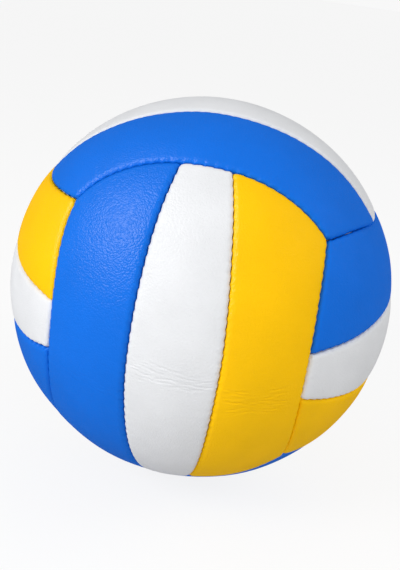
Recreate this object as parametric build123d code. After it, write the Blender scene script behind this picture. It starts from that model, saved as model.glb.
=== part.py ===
from build123d import *

import os
from math import acos, asin, cos, degrees, pi, sin, sqrt, tan
from typing import NamedTuple

# A volleyball: eighteen padded panels, in six groups of three strips, sewn edge to edge over an air
# bladder that is filled through a needle valve. Lengths are in millimetres, angles in radians.
# The origin is the ball's centre, +Z is up, and the front group faces -Y.

# Cover: a leather skin over foam over lining cloth, glued together
ball_diameter = 210.0
skin_thickness = 0.8
foam_thickness = 2.8
lining_thickness = 0.5
glue_line = 0.05
edge_roll_radius = 2.4
middle_strip_share = 1 / 3

# Seams: the thread lies between the turned-in edges of two neighbours
thread_diameter = 0.3
thread_clearance = 0.03
thread_depth = 3.0
thread_sides = 6

# Bladder
bladder_wall = 0.6

# Valve: a flanged sleeve bonded to the bladder, and the plug that seals it
stem_diameter = 8.8
stem_clearance = 0.1
stem_tail = 12.0
stem_floor = 1.5
mouth_recess = 0.4
flange_diameter = 26.0
flange_thickness = 1.0
core_diameter = 5.0
core_clearance = 0.03
core_head_diameter = 6.4
core_head_height = 1.2
needle_diameter = 2.2
needle_funnel_diameter = 3.4
needle_funnel_depth = 0.8
needle_seal = 1.6
outlet_diameter = 3.0

# Cutting tools reach this far past what they cut, and the circle that rolls an edge stands this
# little proud of the two faces it rounds, so that it crosses them both
overrun = 1.0
roll_poke = 0.01

# Radii of the layers, from the crown inwards
ball_radius = ball_diameter / 2
cavity_radius = ball_radius - skin_thickness
foam_radius = cavity_radius - glue_line
foam_floor_radius = foam_radius - foam_thickness
lining_radius = foam_floor_radius - glue_line
cover_floor_radius = lining_radius - lining_thickness
bladder_radius = cover_floor_radius - glue_line
bladder_inner_radius = bladder_radius - bladder_wall
thread_radius = ball_radius - thread_depth

# How far each layer's walls stand back from the middle of the seam
seam_gap = thread_diameter + 2 * thread_clearance
skin_inset = seam_gap / 2
cavity_inset = skin_inset + skin_thickness
filling_inset = cavity_inset + glue_line

# The bevel inside the rolled edge leaves the skin its full thickness at the middle of the roll
cavity_bevel = 2 * (edge_roll_radius - skin_thickness) * (1 - sqrt(1 / 2))

# Heights along the valve's axis, from the ball's centre
stem_mouth = ball_radius - mouth_recess
flange_top = bladder_inner_radius - glue_line
stem_foot = flange_top - flange_thickness - stem_tail
core_foot = stem_foot + stem_floor
head_foot = stem_mouth - core_head_height
valve_hole_diameter = stem_diameter + 2 * stem_clearance

# Six equal groups close the ball where their corners are those of a cube: each reaches to
# corner_angle from its middle along the strips, and to border_angle across them
corner_angle = acos(1 / sqrt(3))
border_angle = asin(1 / sqrt(3))
strip_angle = border_angle * middle_strip_share
flat_angle = pi / 2
half_turn = 180
full_turn = 360

# A group's own frame has X across the strips, Y along them and Z out through the middle
centre = Vector(0, 0, 0)
across = Vector(1, 0, 0)
outward = Vector(0, 0, 1)
groups = {
    "front": Plane(centre, x_dir=(1, 0, 0), z_dir=(0, -1, 0)),
    "back": Plane(centre, x_dir=(-1, 0, 0), z_dir=(0, 1, 0)),
    "right": Plane(centre, x_dir=(0, 0, -1), z_dir=(1, 0, 0)),
    "left": Plane(centre, x_dir=(0, 0, 1), z_dir=(-1, 0, 0)),
    "top": Plane(centre, x_dir=(0, 1, 0), z_dir=(0, 0, 1)),
    "bottom": Plane(centre, x_dir=(0, 1, 0), z_dir=(0, 0, -1)),
}
valve_group = "back"


class Wall(NamedTuple):
    """A panel's side: a cone about axis from the ball's centre, with the panel inside half_angle.

    What is turned about the axis starts towards start, which lies off the panel.
    """

    axis: Vector
    start: Vector
    half_angle: float


# The seams at +X and -X of the middle strip: their middles, and the way across them towards +X
right_seam = Vector(sin(strip_angle), 0, cos(strip_angle))
left_seam = Vector(-sin(strip_angle), 0, cos(strip_angle))
over_right_seam = Vector(cos(strip_angle), 0, -sin(strip_angle))
over_left_seam = Vector(cos(strip_angle), 0, sin(strip_angle))

ends = Wall(outward, -across, corner_angle)
middle_walls = [
    ends,
    Wall(-over_right_seam, -right_seam, flat_angle),
    Wall(over_left_seam, -left_seam, flat_angle),
]
side_walls = [
    ends,
    Wall(over_right_seam, -right_seam, flat_angle),
    Wall(-across, -outward, pi - corner_angle),
]


def ball(radius):
    """A ball with its poles across the group and its seam on the far side."""
    return Plane(centre, x_dir=-outward, z_dir=across) * Sphere(radius)


def turned(profile, axis, start, angle=full_turn):
    """Turns a profile, drawn with X away from the axis and Y along it, from start round the axis."""
    drawing = Plane(centre, x_dir=start, z_dir=start.cross(axis))
    return revolve(drawing * profile, Axis(centre, axis), angle)


def polar(radius, angle):
    """A point of a profile at an angle from the axis."""
    return Vector(sin(angle), cos(angle)) * radius


def wall_cone(axis, start, half_angle, inset):
    """A cone from the ball's centre, with its wall moved inwards by inset."""
    tip = Vector(0, inset / sin(half_angle))
    height = 2 * ball_radius
    rim = tip + Vector(tan(half_angle), 1) * height
    return turned(make_face(Polyline(tip, rim, Vector(0, rim.Y), close=True)), axis, start)


def trimmed(body, wall, inset):
    """What lies inside a wall, moved inwards by inset."""
    if wall.half_angle == flat_angle:
        return split(body, Plane(wall.axis * inset, z_dir=wall.axis), keep=Keep.TOP)
    if wall.half_angle < flat_angle:
        return body & wall_cone(*wall, inset)
    return body - wall_cone(-wall.axis, wall.start, pi - wall.half_angle, -inset)


def roll_profile(half_angle, radius, inset):
    """What rolling takes off the edge between a wall and the ball."""
    off_wall = Vector(cos(half_angle), -sin(half_angle))
    hub_radius = radius - edge_roll_radius + roll_poke
    hub_angle = half_angle - asin((inset + edge_roll_radius - roll_poke) / hub_radius)
    hub = polar(hub_radius, hub_angle)
    off_ball = polar(1, hub_angle)
    low = hub + off_wall * edge_roll_radius
    middle = hub + (off_wall + off_ball).normalized() * edge_roll_radius
    high = hub + off_ball * edge_roll_radius
    corner = hub + (off_wall + off_ball) * (edge_roll_radius + overrun)
    outside = Polyline(high, high + off_ball * overrun, corner, low + off_wall * overrun, low)
    return make_face(ThreePointArc(low, middle, high) + outside)


def bevel_profile(half_angle, radius, inset):
    """What a bevel takes off the edge between a wall and the ball."""
    off_wall = Vector(cos(half_angle), -sin(half_angle))
    edge_angle = half_angle - asin(inset / radius)
    low = polar(radius, edge_angle) - polar(cavity_bevel, half_angle)
    high = polar(radius, half_angle - asin((inset + cavity_bevel) / radius))
    run = (high - low).normalized() * overrun
    corner = polar(radius + overrun, edge_angle) + off_wall * overrun
    return make_face(Polyline(low - run, high + run, corner, close=True))


def panel_layer(walls, radius, floor_radius, inset, edge_profile=None):
    """A layer of a panel between two radii, with its outer edges as edge_profile leaves them."""
    body = ball(radius) - ball(floor_radius)
    for wall in walls:
        body = trimmed(body, wall, inset)
    if edge_profile:
        for wall in walls:
            body -= turned(edge_profile(wall.half_angle, radius, inset), wall.axis, wall.start)
    return body


def skin(walls):
    """The leather: a tray with rolled edges and turned-in sides, open towards the bladder."""
    outside = panel_layer(walls, ball_radius, cover_floor_radius, skin_inset, roll_profile)
    hollow_floor = cover_floor_radius - overrun
    return outside - panel_layer(walls, cavity_radius, hollow_floor, cavity_inset, bevel_profile)


def foam(walls):
    """The foam pad that fills the skin."""
    return panel_layer(walls, foam_radius, foam_floor_radius, filling_inset, bevel_profile)


def lining(walls):
    """The lining cloth under the foam."""
    return panel_layer(walls, lining_radius, cover_floor_radius, filling_inset)


def rod(diameter, low, high):
    """A rod on the valve's axis between two heights."""
    return Pos(0, 0, low) * Cylinder(diameter / 2, high - low, align=(Align.CENTER, Align.CENTER, Align.MIN))


def valve_hole():
    """The hole for the stem, through the cover and the bladder."""
    return rod(valve_hole_diameter, stem_foot, ball_radius + overrun)


def valve_stem():
    """The sleeve with its flange, which lies against the inside of the bladder."""
    flange = ball(flange_top) - ball(flange_top - flange_thickness)
    flange &= rod(flange_diameter, 0, ball_radius)
    stem = flange + rod(stem_diameter, stem_foot, stem_mouth)
    stem -= rod(core_diameter + 2 * core_clearance, core_foot, ball_radius)
    stem -= rod(core_head_diameter + 2 * core_clearance, head_foot, ball_radius)
    return stem - rod(outlet_diameter, stem_foot - overrun, ball_radius)


def valve_core():
    """The plug that the needle goes into: its channel ends above a seal that the needle parts."""
    core = rod(core_diameter, core_foot, stem_mouth) + rod(core_head_diameter, head_foot, stem_mouth)
    core -= rod(needle_diameter, core_foot + needle_seal, ball_radius)
    funnel = Cone(
        needle_diameter / 2,
        needle_funnel_diameter / 2,
        needle_funnel_depth,
        align=(Align.CENTER, Align.CENTER, Align.MAX),
    )
    return core - Pos(0, 0, stem_mouth) * funnel


def seam_thread(axis, middle, half_angle, sweep):
    """The thread of one seam, along a circle about axis, swept to both sides of middle."""
    section = Pos(polar(thread_radius, half_angle)) * RegularPolygon(thread_diameter / 2, thread_sides)
    spare = seam_gap / (thread_radius * sin(half_angle))
    angle = degrees(sweep - spare)
    start = middle.rotate(Axis(centre, axis), -angle)
    return turned(section, axis, start, 2 * angle)


def strip_seams():
    """The threads of the two seams between a group's strips."""
    sweep = acos(cos(corner_angle) / cos(strip_angle))
    right = seam_thread(over_right_seam, right_seam, flat_angle, sweep)
    left = seam_thread(over_left_seam, left_seam, flat_angle, sweep)
    return [right, left]


def border_seams():
    """The threads of the two seams along a group's long sides."""
    sweep = pi / 4
    return [seam_thread(side, outward, corner_angle, sweep) for side in (across, -across)]


def placed_in_groups(pieces):
    """Copies of pieces in every group, as one set of separate solids."""
    return Compound([plane * piece for plane in groups.values() for piece in pieces])


def strips_of(make_layer):
    """One layer of a group's three strips, by colour."""
    middle = make_layer(middle_walls)
    side = make_layer(side_walls)
    return {"blue": side.rotate(Axis.Z, half_turn), "white": middle, "yellow": side}


def cover_pieces():
    """Every panel's skin, foam and lining, in its place on the ball."""
    pieces = {}
    for layer, make_layer in (("panel", skin), ("foam", foam), ("lining", lining)):
        for colour, strip in strips_of(make_layer).items():
            for group, plane in groups.items():
                has_valve = group == valve_group and colour == "white"
                piece = strip - valve_hole() if has_valve else strip
                pieces[f"{group}_{colour}_{layer}"] = plane * piece
    return pieces


def inner_pieces():
    """The bladder and the valve, which stands in the middle of its group."""
    plane = groups[valve_group]
    bladder = ball(bladder_radius) - ball(bladder_inner_radius) - valve_hole()
    return {
        "bladder": plane * bladder,
        "valve_stem": plane * valve_stem(),
        "valve_core": plane * valve_core(),
    }


def thread_pieces():
    """The seam threads, in two sets."""
    return {
        "strip_seam_thread": placed_in_groups(strip_seams()),
        "border_seam_thread": placed_in_groups(border_seams()),
    }


def main():
    os.makedirs("parts", exist_ok=True)
    pieces = cover_pieces() | inner_pieces() | thread_pieces()
    for name, piece in pieces.items():
        piece.label = name
        export_step(piece, f"parts/{name}.step")


if __name__ == "__main__":
    main()
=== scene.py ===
from math import acos, asin, cos, pi, radians, sin, sqrt

import bpy
import numpy as np
from mathutils import Matrix, Vector


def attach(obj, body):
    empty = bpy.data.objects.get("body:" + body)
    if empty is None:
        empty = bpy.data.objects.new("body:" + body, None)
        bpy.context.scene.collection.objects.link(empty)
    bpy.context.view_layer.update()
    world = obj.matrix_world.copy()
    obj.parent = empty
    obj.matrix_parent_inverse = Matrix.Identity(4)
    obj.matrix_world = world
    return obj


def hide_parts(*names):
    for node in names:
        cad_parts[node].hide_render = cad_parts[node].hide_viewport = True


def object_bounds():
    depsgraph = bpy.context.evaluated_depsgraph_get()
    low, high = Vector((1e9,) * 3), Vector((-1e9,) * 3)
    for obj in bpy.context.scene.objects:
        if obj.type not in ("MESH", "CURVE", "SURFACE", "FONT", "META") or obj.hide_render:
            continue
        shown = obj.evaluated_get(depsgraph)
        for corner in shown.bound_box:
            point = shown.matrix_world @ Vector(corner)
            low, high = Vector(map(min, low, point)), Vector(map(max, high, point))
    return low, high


# The ball's looks. Every panel is a mesh of its own with rolled, stitched edges and a soft crown.
# Shapes are worked out in millimetres and turned into metres when a mesh is made.

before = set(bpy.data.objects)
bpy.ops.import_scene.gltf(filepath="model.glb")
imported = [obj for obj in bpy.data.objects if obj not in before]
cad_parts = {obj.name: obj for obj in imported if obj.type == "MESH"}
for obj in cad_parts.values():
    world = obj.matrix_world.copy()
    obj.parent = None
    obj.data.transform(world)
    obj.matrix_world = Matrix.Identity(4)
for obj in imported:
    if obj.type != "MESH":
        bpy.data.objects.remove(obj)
cad_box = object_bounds()

metres = 0.001

# Layers of the cover, as in the solids. What is remade here keeps a little play to its neighbours.
# The solids' box gives the radius, to the tenth of a millimetre that their meshes are true to
ball_radius = round(cad_box[1][0] / metres, 1)
skin_thickness = 0.8
foam_thickness = 2.8
lining_thickness = 0.5
glue_line = 0.05
play = 0.02
foam_top = ball_radius - skin_thickness - glue_line + play
foam_floor = foam_top - foam_thickness
cover_floor = foam_floor - glue_line - lining_thickness + play
valve_hole_diameter = 9.0
cutter_length = 20.0

# Panels: six groups of three strips, which meet at the corners of a cube
border_angle = asin(1 / sqrt(3))
corner_angle = acos(1 / sqrt(3))
strip_angle = border_angle / 3
strip_width = ball_radius * 2 * strip_angle
border_radius = ball_radius * sqrt(2 / 3)
border_reach = border_radius * pi / 4

# Panel meshes: rows at about these distances from each seam, on a strip of this length, and even
# steps between them, twice as many where a group has folds, and one in so many on the hollow side
strip_length = 190.0
edge_rows = (0.0, 0.05, 0.14, 0.28, 0.48, 0.75, 1.1, 1.5, 2.0, 2.6, 3.3, 4.1)
steps_across = 26
steps_along = 330
fold_rows_shares = (0.36, 0.58)
coarse = 4
crease_angle = radians(60)

# Turned-in sides, and the foam between them
turn_in_depth = 3.2
wall = 1.0
wall_slope = 0.9
pad_gap = 0.04

# Crown and rolled edge
crown_rise = 0.95
crown_reach = 9.0
crown_base = -0.6
roll_width = 2.8
roll_depth = 1.5
tuck_slope = 1.3
corner_round = 1.8
undulation = 0.1
undulation_length = 34
undulation_seed = 5

# Stitches, which start a share of their pitch later on each seam than on the one before
stitch_pitch = 5.1
stitch_start_share = 0.37
stitch_margin = 2
stitch_mark = 0.8
seam_sway = 0.16
sway_skew_share = 0.4
sway_reach = 1.8
pucker = 0.07
pucker_reach = 3.5
pinch = 0.22
pinch_reach = 1.3
thread_radius = 0.2
thread_depth = 3.7
strand_reach = 0.7
strand_slant = 0.45
strand_drop = 0.1
strand_steps = 8
strand_sides = 8

# Folds: each is a bundle of fine lines, which wander, fade in and out and have a raised lip
fold_pitch = 1.55
fold_width = 0.5
fold_ease = 5
fold_sway = 0.55
fold_sway_length = 13
fold_fade_length = 31
fold_strength_share = 0.55
fold_swing_share = 0.75
lip_share = 0.4
lip_width_share = 2.3

# Materials: sizes and depths of their grain
grain_size = 0.9
grain_bend = 1.0
grain_bend_size = 2.5
grain_depth = 0.11
gloss_grain_depth = 0.22
leather_shade_size = 22
leather_sheen_size = 6
rubber_grain_size = 0.8
rubber_grain_depth = 0.05
rubber_shade_size = 7
foam_cell_size = 0.7
foam_cell_depth = 0.15
yarn_size = 0.5
yarn_depth = 0.1
ply_size = 0.25
ply_depth = 0.05

# Surroundings: how bright they look, and how bright they are in the light that they throw
floor_size = 30
floor_looks, floor_throws = 0.9, 0.44
floor_glow_share = 0.85
world_looks, world_throws = 0.94, 0.46

# Each group's directions across its strips and out of the ball
groups = {
    "front": ((1, 0, 0), (0, -1, 0)),
    "back": ((-1, 0, 0), (0, 1, 0)),
    "right": ((0, 0, -1), (1, 0, 0)),
    "left": ((0, 0, 1), (-1, 0, 0)),
    "top": ((0, 1, 0), (0, 0, 1)),
    "bottom": ((0, 1, 0), (0, 0, -1)),
}


def axes_of(group):
    """The group's directions across its strips, along them and out of the ball, as columns."""
    across, outward = (np.array(v, float) for v in groups[group])
    return np.column_stack([across, np.cross(outward, across), outward])


axes = {group: axes_of(group) for group in groups}


def unit(v):
    """The same vectors with a length of 1."""
    return v / (np.linalg.norm(v, axis=-1, keepdims=True) + 1e-12)


def wander(x, length, seed):
    """A smooth curve that wanders between about -1 and 1."""
    rng = np.random.default_rng(seed)
    total = np.zeros_like(x)
    shares = (1.0, 0.57, 0.31)
    for share in shares:
        total = total + share * np.sin(2 * pi * x / (length * share) + rng.uniform(0, 2 * pi))
    return total / sum(shares)


def swell(points, length, seed):
    """Smooth hills and hollows over the ball, between about -1 and 1."""
    rng = np.random.default_rng(seed)
    total = np.zeros(points.shape[:-1])
    waves, likely_height = 7, 4
    for _ in range(waves):
        way = unit(rng.normal(size=3))
        wave = length * rng.uniform(0.7, 1.5)
        total = total + np.sin(points @ way * 2 * pi / wave + rng.uniform(0, 2 * pi))
    return total / likely_height


# Each seam has a set of stitches of its own, which both of its panels follow. Half the gap between
# the panels, at a stitch and how much more between two of them
seam_gaps = {"blue_white": (0.26, 0.12), "white_yellow": (0.06, 0.16), "border": (0.16, 0.13)}

# Sewing and pumping have pulled some seams off their true lines: places along each seam, and how
# far it lies there away from the middle of its group
drifts = {
    ("front", "strip", -1): (
        (-97, -75, -36, -13, 6, 23, 40, 56, 73, 97),
        (-1.5, -1.5, -1.3, -0.9, -0.9, -0.7, -0.4, 0, 0.3, -0.1),
    ),
    ("front", "strip", 1): (
        (-97, -66, -29, -7, 11, 28, 44, 60, 76, 97),
        (0.4, 0.4, 0.5, 0.9, 1.4, 1.2, 0.9, 0.5, 0.2, -0.8),
    ),
    ("front", "border", -1): (
        (-67, -52, -28, -15, 6, 21, 33, 44, 54, 67),
        (0, 2.3, 2.1, 2.2, 1.8, 2.2, 2.7, 2.7, 2.2, 0),
    ),
    ("front", "border", 1): (
        (-67, -48, -26, 0, 18, 35, 52, 58, 67),
        (0, 0.9, 1.6, 1.3, 1.2, 0.8, 0.5, 0.1, 0),
    ),
    ("top", "border", -1): (
        (-67, -56, -32, -15, 0, 10, 20, 32, 45, 59, 67),
        (0, -0.4, -0.7, -0.3, 0, -0.1, -1.0, -1.5, -1.0, -0.5, 0),
    ),
    ("top", "strip", -1): (
        (-97, -88, -80, -63, -42, -24, 8, 24, 41, 59, 97),
        (3.2, 2.2, 1.0, -1.1, -1.2, 0, 0, 0.7, 1.5, 1.9, 1.0),
    ),
    ("right", "border", -1): (
        (-67, -54, -42, -30, -15, 0, 67),
        (0, 1.1, 1.4, 0.6, -0.8, -1.2, 0),
    ),
    ("bottom", "border", -1): (
        (-67, 0, 30, 50, 60, 67),
        (0, 0.6, 1.6, 2.4, 2.2, 0),
    ),
    ("left", "border", 1): (
        (-67, -58, -50, -42, -32, -20, 0, 67),
        (0, -1.6, -2.3, -2.8, -3.4, -3.4, -2.2, 0),
    ),
    ("left", "strip", -1): (
        (-97, -88, -80, -70, -60, 0, 97),
        (-1.8, -1.2, -0.7, -0.7, -1.5, -0.8, 0),
    ),
    ("left", "strip", 1): (
        (-97, -90, -81, -70, -53, 0, 97),
        (2.0, 1.6, 0.6, -0.4, -1.0, -0.5, 0),
    ),
    ("right", "strip", -1): (
        (-97, -90, -79, -64, -45, -27, 40, 97),
        (-0.7, -1.0, -2.1, -2.7, -2.8, -2.5, -0.8, 0),
    ),
    ("right", "strip", 1): (
        (-97, -83, -68, -55, -46, 0, 97),
        (-0.3, 0.7, 1.1, 2.0, 2.3, 0.8, 0),
    ),
}

# How far the corners where three groups meet have been pulled, and how far round them that is felt
pulls = {
    (-1, -1, 1): (0.47, -1.36, -0.9),
    (1, -1, 1): (-0.31, -0.46, -0.15),
    (1, -1, -1): (-0.3, -2.2, 2.0),
}
pull_reach = 10.0

# How far from a seam its drift is felt, and how far either way along the seam it is evened out
drift_reach = 16.0
drift_ease = 8.0


def drift(group, kind, side, run):
    """How far a seam has moved away from the middle of its group, at places along it."""
    if (group, kind, side) not in drifts:
        return np.zeros_like(run)
    places, moved = drifts[group, kind, side]
    nearby = [np.interp(run + k * drift_ease, places, moved) for k in (-1, -0.5, 0, 0.5, 1)]
    found = np.mean(nearby, axis=0)
    if kind == "border":
        found = found * np.clip((border_reach - np.abs(run)) / drift_ease, 0, 1)
    return found


def seam_number(group, kind, side):
    """A number for a seam, from the group that owns it."""
    return list(groups).index(group) * 4 + (0 if kind == "strip" else 2) + (side > 0)


def stitch_share(run, number):
    """How far a place is from one stitch to the next, from 0 to 1."""
    return (run / stitch_pitch + stitch_start_share * number) % 1


def strip_run(n, side):
    """How far along a seam between strips a place is, in the group's own directions."""
    outward = n[..., 0] * side * sin(strip_angle) + n[..., 2] * cos(strip_angle)
    return ball_radius * np.arctan2(n[..., 1], outward)


def border_run(n):
    """How far along a border a place is, in the directions of the group whose long side it is."""
    return border_radius * np.arctan2(n[..., 1], n[..., 2])


def panel_edges(group, strip, n):
    """What each of a panel's sides is like from places on the panel.

    The two long sides come first, then the ends as one. Each has its distance, the way out to it,
    the share from stitch to stitch, the side of the seam, its gaps and its move outwards.
    """
    world = n @ axes[group].T
    x, z = np.array([1.0, 0, 0]), np.array([0, 0, 1.0])
    found = []

    def add(distance, way, number, run, which, gaps, moved):
        way = unit(way - np.sum(way * n, axis=-1, keepdims=True) * n)
        found.append((distance, way, stitch_share(run, number), which, seam_gaps[gaps], moved * which))

    for side in (-1, 1):
        over = np.array([side * cos(strip_angle), 0, -sin(strip_angle)])
        colours = "white_yellow" if side > 0 else "blue_white"
        inner, outer = seam_number(group, "strip", side), seam_number(group, "border", side)
        run = strip_run(n, side)
        moved = drift(group, "strip", side, run)
        if strip == 0:
            add(ball_radius * np.arcsin(-(n @ over)), over, inner, run, 1, colours, moved)
        elif strip == side:
            add(ball_radius * np.arcsin(n @ over), -over, inner, run, -1, colours, moved)
            run = border_run(n)
            moved = drift(group, "border", side, run)
            distance = ball_radius * (border_angle - np.arcsin(n @ x * side))
            add(distance, x * side, outer, run, 1, "border", moved)

    end = np.where(n[..., 1] > 0, 1, -1)
    number, run, moved = (np.zeros(n.shape[:-1]) for _ in range(3))
    for way in (-1, 1):
        outward = axes[group][:, 1] * way
        owner = next(g for g in groups if np.allclose(axes[g][:, 2], outward))
        side = round(axes[group][:, 2] @ axes[owner][:, 0])
        here = end == way
        number[here] = seam_number(owner, "border", side)
        run[here] = border_run(world @ axes[owner])[here]
        moved[here] = drift(owner, "border", side, run)[here]
    add(ball_radius * (corner_angle - np.arccos(n[..., 2])), -z, number, run, -1, "border", moved)
    return found


def pulled(group, n):
    """How far places have moved with the corners near them."""
    world = n @ axes[group].T * ball_radius
    total = 0
    for corner, moved in pulls.items():
        distance = np.linalg.norm(world - ball_radius / sqrt(3) * np.array(corner), axis=-1)
        total = total + np.exp(-((distance / pull_reach) ** 2))[..., None] * moved
    return total @ axes[group]


def settled(group, n, edges):
    """How far a panel's points have moved along with its seams."""
    total = pulled(group, n)
    for distance, way, _, _, _, moved in edges:
        near = np.clip(distance, 0, None)
        total = total + way * (moved * np.exp(-((near / drift_reach) ** 2)))[..., None]
    return total


# Shapes of the panels


def directions(strip, s, t):
    """Unit directions of a strip's points, from shares across it and along it."""
    v = 2 * t - 1
    if strip == 0:
        turn = (2 * s - 1) * strip_angle
        reach = np.arccos(cos(corner_angle) / np.cos(turn))
    else:
        rim = np.arcsin(sin(border_angle) / np.cos(v * border_angle))
        turn = strip_angle + s * (rim - strip_angle)
        reach = np.arccos(cos(corner_angle) / np.cos(strip_angle + s * (pi / 4 - strip_angle)))
    rise = v * reach
    n = np.stack([np.sin(turn) * np.cos(rise), np.sin(rise), np.cos(turn) * np.cos(rise)], axis=-1)
    if strip < 0:
        n = n * [-1, 1, 1]
    return n


def rolled(distance):
    """How far the edge has rolled down at a distance from the seam."""
    share = np.clip(1 - distance / roll_width, 0, 1)
    return roll_depth * (1 - np.sqrt(1 - share**2)) + tuck_slope * np.clip(-distance, 0, None)


def rounded(a, b):
    """The distance to two edges that meet in a round corner."""
    qa, qb = corner_round - a, corner_round - b
    inside = np.minimum(np.maximum(qa, qb), 0)
    return corner_round - np.hypot(np.maximum(qa, 0), np.maximum(qb, 0)) - inside


# Folds left from when the ball lay flat, in the group's own millimetres: places across the strips
# that each goes through, how far along the strips it is there, its depth and its number of lines
folds = {
    "front": [
        ((-21, -11, -2, 6, 13, 18, 23), (3.3, 2.4, 1.0, -0.9, -1.1, 0.6, 3.0), 0.36, 5),
        ((-18, -8, 1, 8, 15, 22), (-2.1, -3.2, -2.8, -3.5, -2.9, -2.4), 0.32, 3),
        ((23, 33, 40, 48, 58), (-5.6, -6.8, -7.2, -6.4, -3.4), 0.4, 5),
        ((25, 32, 39, 49, 60), (-14.4, -13.6, -10.6, -12.4, -12.6), 0.4, 5),
        ((-57, -38, -19), (-14.4, -14.6, -18.6), 0.14, 4),
    ],
    "back": [
        ((-56, -40, -24), (6.0, 9.0, 7.0), 0.08, 4),
        ((24, 38, 58), (3.0, 6.0, 10.0), 0.08, 4),
    ],
}


def fold_depth(group, u, v):
    """Depth of the fold lines at places given in millimetres across and along the group."""
    depth = np.zeros_like(u)
    for number, (across, along, deep, lines) in enumerate(folds.get(group, [])):
        middle = np.interp(u, across, along)
        begun = np.clip((u - across[0]) / fold_ease, 0, 1)
        left = np.clip((across[-1] - u) / fold_ease, 0, 1)
        for line in range(lines):
            sway_seed = 100 * number + line
            fade_seed = sway_seed + 50
            sway = fold_sway * wander(u, fold_sway_length, sway_seed)
            height = middle + (line - lines / 2) * fold_pitch + sway
            swing = fold_swing_share * wander(u, fold_fade_length, fade_seed)
            fade = begun * left * np.clip(fold_strength_share + swing, 0, 1)
            x = (v - height) / fold_width
            lip = lip_share * np.exp(-((x / lip_width_share) ** 2))
            depth += deep * fade * (np.exp(-(x**2)) - lip)
    return depth


def surface(group, strip, n):
    """Where the leather lies for directions on the panel, in the group's own millimetres."""
    edges = panel_edges(group, strip, n)
    world = n @ axes[group].T * ball_radius
    crown = crown_rise
    sway = settled(group, n, edges)
    height = undulation * swell(world, undulation_length, undulation_seed)
    for distance, way, share, which, (closed, opening), _ in edges:
        near = np.clip(distance, 0, None)
        crown = crown * (1 - np.exp(-near / crown_reach))
        turn = 2 * pi * share
        open_share = np.sin(turn / 2) ** 2
        bend = -seam_sway * (np.sin(turn) + sway_skew_share * np.sin(2 * turn)) * which
        shift = (bend - closed - opening * open_share) * np.exp(-((near / sway_reach) ** 2))
        sway += way * shift[..., None]
        height -= pucker * np.cos(turn) * np.exp(-near / pucker_reach)
        to_stitch = np.minimum(share, 1 - share) * stitch_pitch
        at_stitch = np.exp(-((to_stitch / stitch_mark) ** 2))
        height -= pinch * at_stitch * np.exp(-((near / pinch_reach) ** 2))
    sides = np.minimum(edges[0][0], edges[1][0])
    height += crown + crown_base - rolled(rounded(sides, edges[2][0]))
    u = ball_radius * np.arctan2(n[..., 0], n[..., 2])
    v = ball_radius * np.arcsin(n[..., 1])
    height -= fold_depth(group, u, v)
    return n * (ball_radius + height)[..., None] + sway


def rows(length, steps, fine=None):
    """Shares of a length, close together at its ends, with twice as many between the two in fine."""
    low = np.array(edge_rows) / length
    middle = np.linspace(low[-1], 1 - low[-1], steps + 1)
    if fine:
        between = (middle[:-1] + middle[1:]) / 2
        extra = between[(between > fine[0]) & (between < fine[1])]
        middle = np.sort(np.concatenate([middle, extra]))
    found = np.concatenate([low[:-1], middle, 1 - low[::-1][1:]])
    while (len(found) - 1) % coarse:
        gap = np.argmax(np.diff(found))
        found = np.insert(found, gap + 1, (found[gap] + found[gap + 1]) / 2)
    return found


def grid_faces(across, along, first=0):
    """Quads of a grid of points, numbered along its second direction."""
    i, j = np.meshgrid(np.arange(across - 1), np.arange(along - 1), indexing="ij")
    corner = first + i * along + j
    quads = [corner, corner + along, corner + along + 1, corner + 1]
    return np.stack(quads, axis=-1).reshape(-1, 4)


def rim_of(across, along):
    """The numbers of a grid's outer points, in order round it."""
    near = [i * along for i in range(across - 1)]
    far = [(across - 1) * along + j for j in range(along - 1)]
    back = [i * along + along - 1 for i in range(across - 1, 0, -1)]
    home = list(range(along - 1, 0, -1))
    return np.array(near + far + back + home)


def panel_rows(group):
    """Shares across and along a panel, with more of them where it has been folded."""
    fine = fold_rows_shares if group in folds else None
    return rows(strip_width, steps_across), rows(strip_length, steps_along, fine)


def hollow(group, strip, inset):
    """Directions of the hollow under a panel, coarser than its outside, and the hollow's ceiling."""
    s, t = (x[::coarse] for x in panel_rows(group))
    s = inset / strip_width + s * (1 - 2 * inset / strip_width)
    t = inset / strip_length + t * (1 - 2 * inset / strip_length)
    n = directions(strip, *np.meshgrid(s, t, indexing="ij"))
    edges = panel_edges(group, strip, n)
    near = np.min([edge[0] for edge in edges], axis=0)
    ceiling = foam_top - wall_slope * np.clip(2 * wall - near, 0, wall)
    return unit(n + settled(group, n, edges) / ball_radius), ceiling


def pad_mesh(group, strip):
    """The foam that fills the hollow under a panel."""
    n, ceiling = hollow(group, strip, wall + pad_gap)
    few, many = n.shape[:2]
    count = few * many
    rim = rim_of(few, many)
    after = np.roll(rim, -1)
    top = n * (ceiling - pad_gap)[..., None]
    points = np.concatenate([top.reshape(-1, 3), (n * foam_floor).reshape(-1, 3)])
    faces = grid_faces(few, many).tolist() + grid_faces(few, many, count)[:, ::-1].tolist()
    faces += np.stack([rim + count, after + count, after, rim], axis=-1).tolist()
    if strip >= 0:
        faces = [face[::-1] for face in faces]
    return points @ axes[group].T * metres, faces


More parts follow.
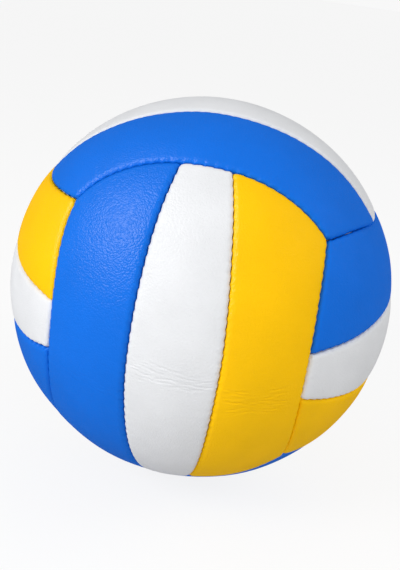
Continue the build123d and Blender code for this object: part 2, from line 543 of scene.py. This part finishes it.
def panel_mesh(group, strip):
    """A panel: the leather outside, its turned-in sides, and the hollow that holds the foam."""
    n = directions(strip, *np.meshgrid(*panel_rows(group), indexing="ij"))
    outside = surface(group, strip, n)
    across, along = outside.shape[:2]
    points = [outside.reshape(-1, 3)]
    faces = [grid_faces(across, along).tolist()]
    count = across * along

    # The turned-in sides, ring by ring
    rim = rim_of(across, along)
    edge = points[0][rim]
    last = rim
    for radius in (ball_radius - turn_in_depth, cover_floor):
        points.append(unit(edge) * radius)
        ring = count + np.arange(len(rim))
        follow = np.roll(ring, -1), np.roll(last, -1)
        faces.append(np.stack([ring, follow[0], follow[1], last], axis=-1).tolist())
        last = ring
        count += len(rim)

    # The hollow
    inner, ceiling = hollow(group, strip, wall)
    few, many = inner.shape[:2]
    inner_rim = rim_of(few, many)
    points.append(unit(inner.reshape(-1, 3)[inner_rim]) * cover_floor)
    foot = count + np.arange(len(inner_rim))
    count += len(inner_rim)
    points.append((inner * ceiling[..., None]).reshape(-1, 3))
    faces.append(grid_faces(few, many, count)[:, ::-1].tolist())
    top = count + inner_rim
    faces.append(np.stack([top, np.roll(top, -1), np.roll(foot, -1), foot], axis=-1).tolist())

    # The foot of the sides, from the fine ring outside to the coarse one inside
    for k in range(len(foot)):
        outer = [last[(k * coarse + m) % len(last)] for m in range(coarse + 1)]
        here, after = foot[k], foot[(k + 1) % len(foot)]
        half = coarse // 2
        fan = [[outer[m], here, outer[m + 1]] for m in range(half)]
        fan += [[outer[m], after, outer[m + 1]] for m in range(half, coarse)]
        faces.append(fan + [[outer[half], here, after]])

    points = np.concatenate(points) @ axes[group].T * metres
    faces = [face for some in faces for face in some]
    if strip >= 0:
        faces = [face[::-1] for face in faces]
    return points, faces


def new_piece(name, points, faces, material):
    """An object of these points and faces in the scene, smooth but for its creases."""
    mesh = bpy.data.meshes.new(name)
    mesh.from_pydata(points.tolist(), [], [[int(i) for i in face] for face in faces])
    mesh.validate()
    mesh.shade_smooth()
    mesh.set_sharp_from_angle(angle=crease_angle)
    mesh.materials.append(material)
    piece = bpy.data.objects.new(name, mesh)
    bpy.context.scene.collection.objects.link(piece)
    return piece


# Materials


def new_material(name):
    """A material with its shader, the place on the piece, and a function that adds nodes to it."""
    material = bpy.data.materials.new(name)
    material.use_nodes = True
    nodes, links = material.node_tree.nodes, material.node_tree.links
    shader = nodes["Principled BSDF"]
    place = nodes.new("ShaderNodeTexCoord").outputs["Object"]

    def node(kind, inputs, **settings):
        made = nodes.new(kind)
        for key, value in settings.items():
            setattr(made, key, value)
        for key, value in inputs.items():
            if isinstance(value, bpy.types.NodeSocket):
                links.new(value, made.inputs[key])
            else:
                made.inputs[key].default_value = value
        return made

    return material, shader, place, node, links


def noise(node, place, size, detail=2.0, output="Fac"):
    """Soft noise with features of about size, in millimetres."""
    inputs = {"Vector": place, "Scale": 1 / (size * metres), "Detail": detail}
    return node("ShaderNodeTexNoise", inputs).outputs[output]


def bumps(node, height, strength, depth, **settings):
    """A surface's directions where it rises and falls by depth, in millimetres."""
    inputs = {"Height": height, "Strength": strength, "Distance": depth * metres}
    return node("ShaderNodeBump", inputs, **settings).outputs["Normal"]


def spread(node, value, low, high):
    """Maps the middle of a noise's range to low and high."""
    inputs = {"Value": value, "From Min": 0.3, "From Max": 0.7, "To Min": low, "To Max": high}
    return node("ShaderNodeMapRange", inputs).outputs["Result"]


def tinted(node, colour, value, darkest):
    """A colour that a value from 0 to 1 takes from a share of itself to the whole."""
    ramp = node("ShaderNodeValToRGB", {"Fac": value})
    ramp.color_ramp.elements[0].position = 0.25
    ramp.color_ramp.elements[0].color = (*[c * darkest for c in colour], 1)
    ramp.color_ramp.elements[1].position = 0.7
    ramp.color_ramp.elements[1].color = (*colour, 1)
    return ramp.outputs["Color"]


def leather(name, colour):
    """Satin synthetic leather with a fine pebbled grain."""
    material, shader, place, node, links = new_material(name)
    uneven = noise(node, place, grain_bend_size, detail=1.0, output="Color")
    bent = node(
        "ShaderNodeVectorMath",
        {0: uneven, 1: (grain_bend * metres,) * 3, 2: place},
        operation="MULTIPLY_ADD",
    ).outputs["Vector"]
    cells = node(
        "ShaderNodeTexVoronoi",
        {"Vector": bent, "Scale": 1 / (grain_size * metres), "Smoothness": 0.3},
        feature="SMOOTH_F1",
    ).outputs["Distance"]
    # The grain shows more in the film's gloss than in the light that the leather scatters
    for socket, depth in (("Normal", grain_depth), ("Coat Normal", gloss_grain_depth)):
        links.new(bumps(node, cells, 1.0, depth, invert=True), shader.inputs[socket])
    shade = noise(node, place, leather_shade_size, detail=4.0)
    links.new(tinted(node, colour, shade, 0.93), shader.inputs["Base Color"])
    sheen = noise(node, place, leather_sheen_size, detail=4.0)
    links.new(spread(node, sheen, 0.32, 0.38), shader.inputs["Roughness"])
    # A thin film gives the gloss, so that it is little stronger at the ball's edges than in its middle
    shader.inputs["Specular IOR Level"].default_value = 0.0
    shader.inputs["Coat Weight"].default_value = 0.075
    shader.inputs["Coat Roughness"].default_value = 0.35
    shader.inputs["Coat IOR"].default_value = 2.4
    return material


def rubber(name, colour, roughness):
    """Moulded black rubber."""
    material, shader, place, node, links = new_material(name)
    fine = noise(node, place, rubber_grain_size, detail=4.0)
    links.new(bumps(node, fine, 0.25, rubber_grain_depth), shader.inputs["Normal"])
    shade = noise(node, place, rubber_shade_size)
    links.new(tinted(node, colour, shade, 0.75), shader.inputs["Base Color"])
    uneven = 0.08
    links.new(spread(node, fine, roughness - uneven, roughness + uneven), shader.inputs["Roughness"])
    return material


def foam_material():
    """Closed-cell foam."""
    material, shader, place, node, links = new_material("foam")
    inputs = {"Vector": place, "Scale": 1 / (foam_cell_size * metres)}
    cells = node("ShaderNodeTexVoronoi", inputs).outputs["Distance"]
    links.new(bumps(node, cells, 0.5, foam_cell_depth), shader.inputs["Normal"])
    links.new(tinted(node, (0.75, 0.74, 0.7), cells, 0.85), shader.inputs["Base Color"])
    links.new(spread(node, cells, 0.8, 0.95), shader.inputs["Roughness"])
    return material


def cloth_material():
    """Plain weave, from two sets of crossing yarns."""
    material, shader, place, node, links = new_material("lining_cloth")
    # Half the length of a wave texture's band at a scale of 1
    half_band = 0.16
    scale = half_band / (yarn_size * metres)
    yarns = [
        node(
            "ShaderNodeTexWave",
            {"Vector": place, "Scale": scale, "Distortion": 1.2, "Detail": 2.0},
            bands_direction=direction,
        ).outputs["Fac"]
        for direction in ("X", "Z")
    ]
    weave = node("ShaderNodeMath", {0: yarns[0], 1: yarns[1]}, operation="MAXIMUM").outputs["Value"]
    links.new(bumps(node, weave, 0.6, yarn_depth), shader.inputs["Normal"])
    links.new(tinted(node, (0.68, 0.65, 0.58), weave, 0.7), shader.inputs["Base Color"])
    links.new(spread(node, weave, 0.75, 0.9), shader.inputs["Roughness"])
    return material


def thread_material():
    """Twisted polyester yarn."""
    material, shader, place, node, links = new_material("thread")
    plies = noise(node, place, ply_size)
    links.new(bumps(node, plies, 0.5, ply_depth), shader.inputs["Normal"])
    links.new(tinted(node, (0.7, 0.69, 0.66), plies, 0.7), shader.inputs["Base Color"])
    links.new(spread(node, plies, 0.55, 0.75), shader.inputs["Roughness"])
    return material


leathers = {
    "blue": leather("blue_leather", (0.003, 0.148, 0.7)),
    "white": leather("white_leather", (0.77, 0.78, 0.8)),
    "yellow": leather("yellow_leather", (0.97, 0.545, 0.0)),
}
foam = foam_material()
cloth = cloth_material()
thread = thread_material()
bladder_rubber = rubber("bladder_rubber", (0.03, 0.03, 0.03), 0.6)
valve_rubber = rubber("valve_rubber", (0.04, 0.04, 0.045), 0.45)


# The cover

strips = {"blue": -1, "white": 0, "yellow": 1}


def cut_valve_hole(piece):
    """Cuts the hole for the valve along the ball's +Y."""
    bpy.ops.mesh.primitive_cylinder_add(
        vertices=96,
        radius=valve_hole_diameter / 2 * metres,
        depth=cutter_length * metres,
        location=(0, ball_radius * metres, 0),
        rotation=(pi / 2, 0, 0),
    )
    cutter = bpy.context.object
    cut = piece.modifiers.new("valve_hole", "BOOLEAN")
    cut.object = cutter
    cut.operation = "DIFFERENCE"
    cut.solver = "EXACT"
    shown = piece.evaluated_get(bpy.context.evaluated_depsgraph_get())
    mesh = bpy.data.meshes.new_from_object(shown)
    piece.modifiers.clear()
    piece.data = mesh
    bpy.data.objects.remove(cutter)


for group in groups:
    for colour, strip in strips.items():
        panel = new_piece(f"{group}_{colour}_leather", *panel_mesh(group, strip), leathers[colour])
        if group == "back" and colour == "white":
            cut_valve_hole(panel)
        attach(panel, "root")
        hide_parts(f"{group}_{colour}_panel")
        pad = new_piece(f"{group}_{colour}_pad", *pad_mesh(group, strip), foam)
        if group == "back" and colour == "white":
            cut_valve_hole(pad)
        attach(pad, "root")
        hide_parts(f"{group}_{colour}_foam")


# Stitches: short strands that cross each seam where the thread pulls its panels together


def strand(middle, over, along, out):
    """One stitch: a tube that rises out of one panel, crosses the seam and goes into the other."""
    steps, sides = strand_steps, strand_sides
    x = np.linspace(-1, 1, steps + 1)
    path = middle + np.outer(x * strand_reach, over) + np.outer(x * strand_slant, along)
    path = path - np.outer(strand_drop * x**2, out)
    turn = 2 * pi * np.arange(sides) / sides
    points = []
    for k in range(steps + 1):
        ahead = unit(path[min(k + 1, steps)] - path[max(k - 1, 0)])
        side = unit(np.cross(ahead, out))
        rise = np.cross(side, ahead)
        ring = np.outer(np.cos(turn), side) + np.outer(np.sin(turn), rise)
        points.append(path[k] + thread_radius * ring)
    faces = []
    for k in range(steps):
        here, ahead = k * sides, (k + 1) * sides
        for m in range(sides):
            after = (m + 1) % sides
            faces.append([here + m, here + after, ahead + after, ahead + m])
    faces.append(list(range(sides))[::-1])
    faces.append([steps * sides + m for m in range(sides)])
    return np.concatenate(points), faces


def seam_strands(group, kind):
    """The stitches of a group's two seams of one kind."""
    for side in (-1, 1):
        start = stitch_start_share * seam_number(group, kind, side)
        if kind == "strip":
            axis = np.array([side * cos(strip_angle), 0, -sin(strip_angle)])
            middle = np.array([side * sin(strip_angle), 0, cos(strip_angle)])
            circle, lift = ball_radius, 0.0
            reach = circle * acos(cos(corner_angle) / cos(strip_angle))
        else:
            axis = np.array([side, 0.0, 0.0])
            middle = np.array([0, 0, 1.0])
            circle, lift = border_radius, ball_radius * sqrt(1 / 3)
            reach = border_reach
        first = int(np.ceil(-(reach - stitch_margin) / stitch_pitch + start))
        last = int(np.floor((reach - stitch_margin) / stitch_pitch + start))
        for stitch in range(first, last + 1):
            turn = (stitch - start) * stitch_pitch / circle
            ring = middle * cos(turn) + np.array([0, 1.0, 0]) * sin(turn)
            out = unit(ring * circle + axis * lift)
            along = unit(np.array([0, 1.0, 0]) * cos(turn) - middle * sin(turn))
            over = np.cross(along, out)
            aside = unit(axis - axis @ out * out)
            moved = aside * drift(group, kind, side, np.array([turn * circle]))
            moved = moved + pulled(group, out)
            yield strand(out * (ball_radius - thread_depth) + moved, over, along, out)


for kind, name in (("strip", "strip_seam"), ("border", "border_seam")):
    points, faces, count = [], [], 0
    for group in groups:
        for some, more in seam_strands(group, kind):
            points.append(some @ axes[group].T * metres)
            faces += [[count + i for i in face] for face in more]
            count += len(some)
    stitches = new_piece(f"{name}_stitches", np.concatenate(points), faces, thread)
    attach(stitches, "root")
    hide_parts(f"{name}_thread")


# What the panels cover keeps its solid's shape

inside = {"lining": cloth, "bladder": bladder_rubber, "stem": valve_rubber, "core": valve_rubber}
for name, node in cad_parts.items():
    material = inside.get(name.split("_")[-1])
    if material:
        node.data.materials.clear()
        node.data.materials.append(material)


# Floor, light and camera


def background_rays(nodes, links):
    """1 for the rays that show the background: those of the camera, of gloss and of glass."""
    ray = nodes.new("ShaderNodeLightPath")
    shown = ray.outputs["Is Camera Ray"]
    for other in ("Is Glossy Ray", "Is Transmission Ray"):
        either = nodes.new("ShaderNodeMath")
        either.operation = "MAXIMUM"
        links.new(shown, either.inputs[0])
        links.new(ray.outputs[other], either.inputs[1])
        shown = either.outputs[0]
    return shown


def floor_material():
    """A white floor that keeps the ball's shadow."""
    material = bpy.data.materials.new("floor")
    material.use_nodes = True
    nodes, links = material.node_tree.nodes, material.node_tree.links
    paper = nodes["Principled BSDF"]
    shown = background_rays(nodes, links)
    # White where it shows, and greyer in the light that it throws back at the ball
    tone = nodes.new("ShaderNodeMapRange")
    links.new(shown, tone.inputs["Value"])
    tone.inputs["To Min"].default_value = floor_throws
    tone.inputs["To Max"].default_value = floor_looks
    links.new(tone.outputs["Result"], paper.inputs["Base Color"])
    paper.inputs["Roughness"].default_value = 0.9
    glow = nodes.new("ShaderNodeEmission")
    glow.inputs["Color"].default_value = (1, 1, 1, 1)
    glow.inputs["Strength"].default_value = 1.0
    seen = nodes.new("ShaderNodeMath")
    seen.operation = "MULTIPLY"
    links.new(shown, seen.inputs[0])
    seen.inputs[1].default_value = floor_glow_share
    mix = nodes.new("ShaderNodeMixShader")
    links.new(seen.outputs[0], mix.inputs[0])
    links.new(paper.outputs[0], mix.inputs[1])
    links.new(glow.outputs[0], mix.inputs[2])
    links.new(mix.outputs[0], nodes["Material Output"].inputs["Surface"])
    return material


bpy.ops.mesh.primitive_plane_add(size=floor_size, location=(0, 0, -ball_radius * metres))
floor = bpy.context.object
floor.name = "floor"
floor.data.materials.append(floor_material())

world = bpy.data.worlds.new("studio")
bpy.context.scene.world = world
world.use_nodes = True
nodes, links = world.node_tree.nodes, world.node_tree.links
sky = nodes["Background"]
seen = nodes.new("ShaderNodeMapRange")
links.new(background_rays(nodes, links), seen.inputs["Value"])
seen.inputs["To Min"].default_value = world_throws
seen.inputs["To Max"].default_value = world_looks
links.new(seen.outputs["Result"], sky.inputs["Strength"])
sky.inputs["Color"].default_value = (1, 1, 1, 1)

# The camera's place, from the seams in the photograph: its way out of the ball, right and up
azimuth, elevation, roll = radians(4.76), radians(22.97), radians(8.35)
camera_distance = 0.425
towards = Vector((cos(elevation) * sin(azimuth), -cos(elevation) * cos(azimuth), sin(elevation)))
level = Vector((cos(azimuth), sin(azimuth), 0))
upright = towards.cross(level)
right = level * cos(roll) + upright * sin(roll)
up = upright * cos(roll) - level * sin(roll)

camera_data = bpy.data.cameras.new("camera")
camera = bpy.data.objects.new("camera", camera_data)
bpy.context.scene.collection.objects.link(camera)
camera_turn = Matrix((right, up, towards)).transposed().to_4x4()
camera.matrix_world = Matrix.Translation(towards * camera_distance) @ camera_turn
camera_data.lens = 47.2
camera_data.shift_x = -0.002
camera_data.shift_y = 0.0035
camera_data.clip_start = 0.01
bpy.context.scene.camera = camera


def softbox(name, way, distance, size, power, lights=True, shines=True):
    """A square lamp on the side of the ball that way points to, in the picture's directions.

    One that doesn't light shows in the gloss alone, and one that doesn't shine is kept out of it.
    """
    lamp = bpy.data.lights.new(name, "AREA")
    lamp.shape = "SQUARE"
    lamp.size = size
    lamp.energy = power
    place = (right * way[0] + up * way[1] + towards * way[2]).normalized()
    holder = bpy.data.objects.new(name, lamp)
    bpy.context.scene.collection.objects.link(holder)
    holder.visible_diffuse = lights
    holder.visible_glossy = shines
    turn = place.to_track_quat("Z", "Y").to_matrix().to_4x4()
    holder.matrix_world = Matrix.Translation(place * distance) @ turn


softbox("key", (-0.64, 0.37, 0.68), distance=0.9, size=0.3, power=4.0)
softbox("gloss", (-0.559, 0.555, 0.616), distance=0.9, size=0.4, power=6.5, lights=False)
softbox("front", (-0.1, -0.3, 0.95), distance=1.2, size=0.5, power=4.6, shines=False)
softbox("top", (0.87, 0.42, 0.25), distance=1.1, size=0.6, power=3.7, shines=False)

bpy.context.scene.view_settings.view_transform = "Standard"
